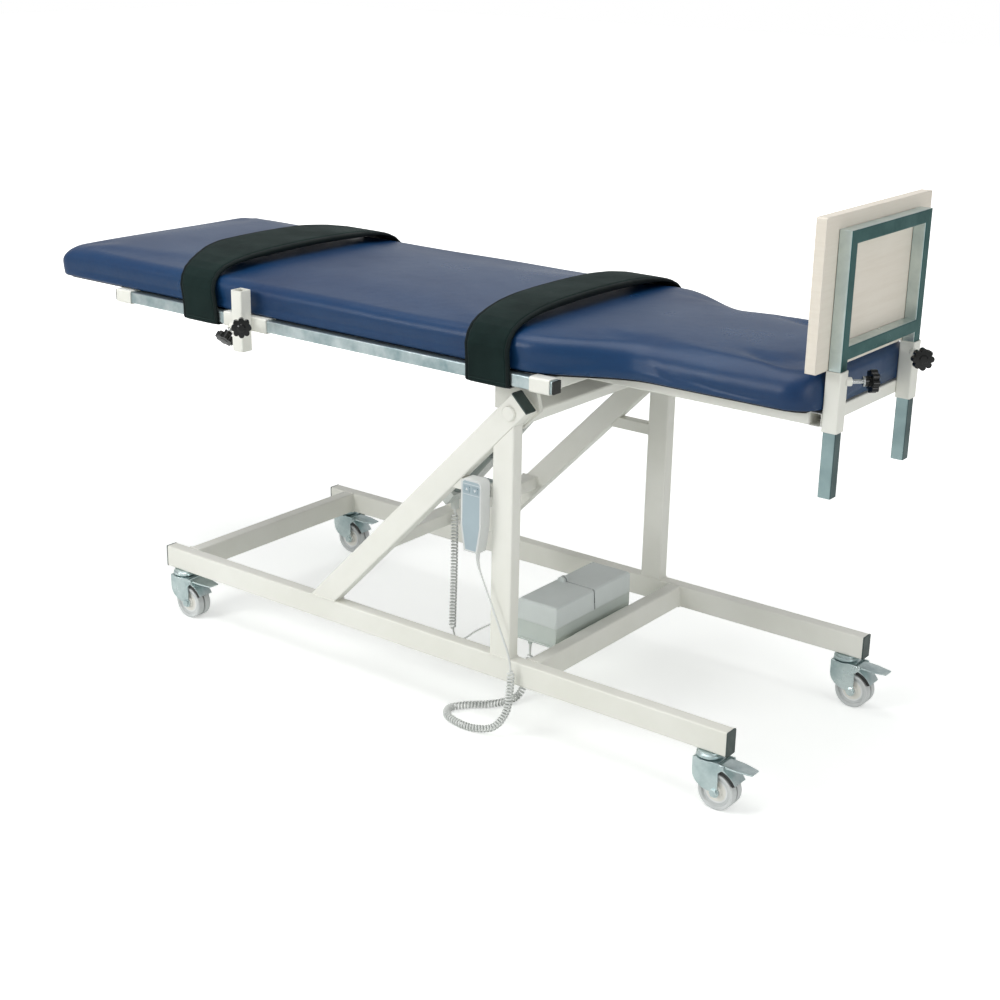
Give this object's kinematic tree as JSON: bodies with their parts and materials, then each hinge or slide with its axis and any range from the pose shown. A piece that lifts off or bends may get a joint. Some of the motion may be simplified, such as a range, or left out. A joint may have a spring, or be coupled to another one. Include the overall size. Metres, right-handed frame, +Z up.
{
  "type": "tilt table",
  "caption": "Physiotherapy tilt table: padded two-width top with two straps and a footboard, tilted on a wheeled tube base by an electric actuator with a corded handset.",
  "frame": {"origin": "middle of the outline box, on the floor", "axes": "+X from the head end to the foot end, +Y to the side away from the handset, +Z up"},
  "size_m": [1.9772, 0.7046, 1.1024],
  "materials": {
    "paint": "satin off-white paint",
    "zinc": "zinc plated",
    "cap": "moulded, dark grey-green",
    "black": "moulded, black",
    "pedal": "zinc-plated lever with a black shoe",
    "tread": "light grey, non-marking",
    "vinyl": "coated upholstery fabric over foam, navy",
    "strap": "padded webbing, dark green",
    "board": "plywood",
    "cream": "laminated board, cream",
    "box": "moulded housing, grey-green",
    "motor": "dark grey",
    "tube": "drawn tube",
    "rod": "polished",
    "handset": "moulded, light grey",
    "face": "moulded, blue-grey",
    "cord": "soft cable sheath, light grey"
  },
  "bodies": {
    "base": {"base_rails": "paint", "base_cross_tubes": "paint", "posts": "paint", "diagonals": "paint", "post_ties": "paint", "low_cross_tube": "paint", "base_caps": "cap", "pivot_bolts": "paint", "actuator_lugs": "paint", "actuator_low_pin": "zinc", "control_tray": "paint", "control_base": "box", "control_lid": "box", "caster_tops": "zinc", "handset_shell": "handset", "handset_face": "face", "handset_hook": "zinc", "handset_cord": "cord", "motor_cord": "cord"},
    "table": {"trunk_tubes": "paint", "leg_tubes": "paint", "top_cross_tubes": "paint", "pivot_tube": "paint", "pivot_plates": "paint", "lever_lugs": "paint", "lever_pin": "zinc", "rail_holders": "paint", "side_rail_front": "zinc", "side_rail_rear": "zinc", "rail_plugs": "black", "top_board": "board", "cushion": "vinyl", "chest_strap": "strap", "thigh_strap": "strap", "foot_sleeves": "paint"},
    "footboard_slide_body": {"footboard_frame": "zinc", "footboard": "cream"},
    "foot_knob_front_body": {"foot_knob_front": "black"},
    "foot_knob_rear_body": {"foot_knob_rear": "black"},
    "clamp_body": {"rail_clamp": "paint"},
    "clamp_knob_rail_body": {"clamp_knob_rail": "black"},
    "clamp_knob_socket_body": {"clamp_knob_socket": "black"},
    "actuator_body": {"actuator_housing": "box", "actuator_motor": "motor", "actuator_tube": "tube"},
    "rod_body": {"actuator_rod": "rod"},
    "key_up_body": {"handset_button_up": "face"},
    "key_down_body": {"handset_button_down": "face"},
    "fork_hf_body": {"caster_fork_hf": "zinc"},
    "wheels_hf_body": {"caster_wheels_hf": "tread"},
    "pedal_hf_body": {"caster_pedal_hf": "pedal"},
    "fork_hr_body": {"caster_fork_hr": "zinc"},
    "wheels_hr_body": {"caster_wheels_hr": "tread"},
    "pedal_hr_body": {"caster_pedal_hr": "pedal"},
    "fork_ff_body": {"caster_fork_ff": "zinc"},
    "wheels_ff_body": {"caster_wheels_ff": "tread"},
    "pedal_ff_body": {"caster_pedal_ff": "pedal"},
    "fork_fr_body": {"caster_fork_fr": "zinc"},
    "wheels_fr_body": {"caster_wheels_fr": "tread"},
    "pedal_fr_body": {"caster_pedal_fr": "pedal"}
  },
  "joints": [
    {"name": "table_tilt", "type": "hinge", "parent": "base", "child": "table", "pos_m": [0.32337, 0.03343, 0.672], "axis": [0, 1, 0], "range_deg": [0, 85]},
    {"name": "actuator_swing", "type": "hinge", "parent": "base", "child": "actuator_body", "pos_m": [-0.03163, 0.03343, 0.362], "axis": [0, 1, 0], "range_deg": [0, 2.91]},
    {"name": "rod_stroke", "type": "slide", "parent": "actuator_body", "child": "rod_body", "axis": [0.6559, 0, 0.7549], "range_m": [0, 0.09479]},
    {"name": "footboard_height", "type": "slide", "parent": "table", "child": "footboard_slide_body", "axis": [0, 0, 1], "range_m": [0, 0.15]},
    {"name": "clamp_slide", "type": "slide", "parent": "table", "child": "clamp_body", "axis": [1, 0, 0], "range_m": [-0.012, 0.5]},
    {"name": "foot_knob_front_turn", "type": "hinge", "parent": "table", "child": "foot_knob_front_body", "pos_m": [0.92287, -0.11657, 0.812], "axis": [0.7071, 0.7071, 0], "range_deg": [0, 360]},
    {"name": "foot_knob_rear_turn", "type": "hinge", "parent": "table", "child": "foot_knob_rear_body", "pos_m": [0.92287, 0.18343, 0.812], "axis": [0.7071, -0.7071, 0], "range_deg": [0, 360]},
    {"name": "clamp_knob_rail_turn", "type": "hinge", "parent": "clamp_body", "child": "clamp_knob_rail_body", "pos_m": [-0.40263, -0.26657, 0.7445], "axis": [0, -0.7071, -0.7071], "range_deg": [0, 360]},
    {"name": "clamp_knob_socket_turn", "type": "hinge", "parent": "clamp_body", "child": "clamp_knob_socket_body", "pos_m": [-0.35663, -0.29717, 0.7495], "axis": [0.7071, -0.7071, 0], "range_deg": [0, 360]},
    {"name": "key_up_press", "type": "slide", "parent": "base", "child": "key_up_body", "axis": [0, 1, 0], "range_m": [0, 0.001], "stiffness_N_per_m": 600},
    {"name": "key_down_press", "type": "slide", "parent": "base", "child": "key_down_body", "axis": [0, 1, 0], "range_m": [0, 0.001], "stiffness_N_per_m": 600},
    {"name": "swivel_hf", "type": "hinge", "parent": "base", "child": "fork_hf_body", "pos_m": [-0.62463, -0.24657, 0.112], "axis": [0, 0, 1], "continuous": true},
    {"name": "wheel_spin_hf", "type": "hinge", "parent": "fork_hf_body", "child": "wheels_hf_body", "pos_m": [-0.59963, -0.24657, 0.0375], "axis": [0, 1, 0], "continuous": true},
    {"name": "brake_hf", "type": "hinge", "parent": "fork_hf_body", "child": "pedal_hf_body", "pos_m": [-0.58863, -0.24657, 0.091], "axis": [0, 1, 0], "range_deg": [0, 4]},
    {"name": "swivel_hr", "type": "hinge", "parent": "base", "child": "fork_hr_body", "pos_m": [-0.62463, 0.31343, 0.112], "axis": [0, 0, 1], "continuous": true},
    {"name": "wheel_spin_hr", "type": "hinge", "parent": "fork_hr_body", "child": "wheels_hr_body", "pos_m": [-0.59963, 0.31343, 0.0375], "axis": [0, 1, 0], "continuous": true},
    {"name": "brake_hr", "type": "hinge", "parent": "fork_hr_body", "child": "pedal_hr_body", "pos_m": [-0.58863, 0.31343, 0.091], "axis": [0, 1, 0], "range_deg": [0, 4]},
    {"name": "swivel_ff", "type": "hinge", "parent": "base", "child": "fork_ff_body", "pos_m": [0.79537, -0.24657, 0.112], "axis": [0, 0, 1], "continuous": true},
    {"name": "wheel_spin_ff", "type": "hinge", "parent": "fork_ff_body", "child": "wheels_ff_body", "pos_m": [0.82037, -0.24657, 0.0375], "axis": [0, 1, 0], "continuous": true},
    {"name": "brake_ff", "type": "hinge", "parent": "fork_ff_body", "child": "pedal_ff_body", "pos_m": [0.83137, -0.24657, 0.091], "axis": [0, 1, 0], "range_deg": [0, 4]},
    {"name": "swivel_fr", "type": "hinge", "parent": "base", "child": "fork_fr_body", "pos_m": [0.79537, 0.31343, 0.112], "axis": [0, 0, 1], "continuous": true},
    {"name": "wheel_spin_fr", "type": "hinge", "parent": "fork_fr_body", "child": "wheels_fr_body", "pos_m": [0.82037, 0.31343, 0.0375], "axis": [0, 1, 0], "continuous": true},
    {"name": "brake_fr", "type": "hinge", "parent": "fork_fr_body", "child": "pedal_fr_body", "pos_m": [0.83137, 0.31343, 0.091], "axis": [0, 1, 0], "range_deg": [0, 4]}
  ],
  "couplings": [
    {"joint": "actuator_swing", "follows": "table_tilt", "ratio": 0.034169},
    {"joint": "rod_stroke", "follows": "table_tilt", "m_per_rad": 0.063758}
  ]
}
